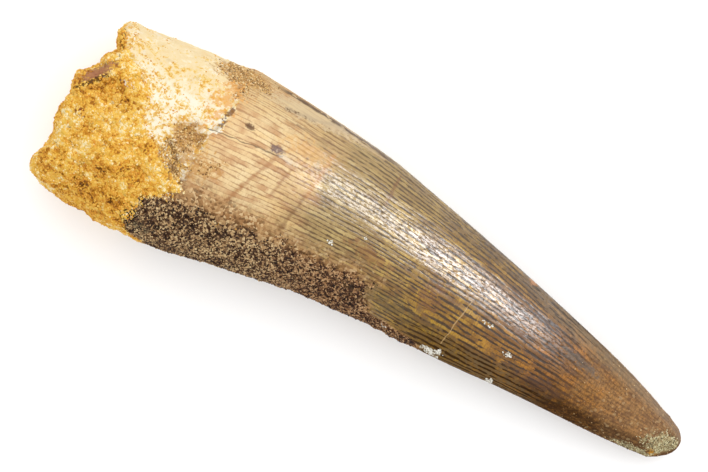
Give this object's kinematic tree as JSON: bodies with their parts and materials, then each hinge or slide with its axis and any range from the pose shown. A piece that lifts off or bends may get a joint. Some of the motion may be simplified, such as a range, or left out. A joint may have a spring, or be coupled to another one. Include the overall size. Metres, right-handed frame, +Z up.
{
  "type": "spinosaurus tooth fossil",
  "caption": "Fossil crown and root of a conical dinosaur tooth with fine lengthwise flutes, sand still set on the root, lying on its side.",
  "frame": {"origin": "centre of the bounding box in X and Y, on the surface that the tooth lies on", "axes": "+X runs from the broken root to the worn tip, +Y to the curved edge of the crown, +Z up from the surface"},
  "size_m": [0.0772, 0.0232, 0.0182],
  "materials": {
    "fossil": "satin, striated enamel with sandy crust"
  },
  "bodies": {
    "root": {"tooth": "fossil"}
  },
  "joints": []
}
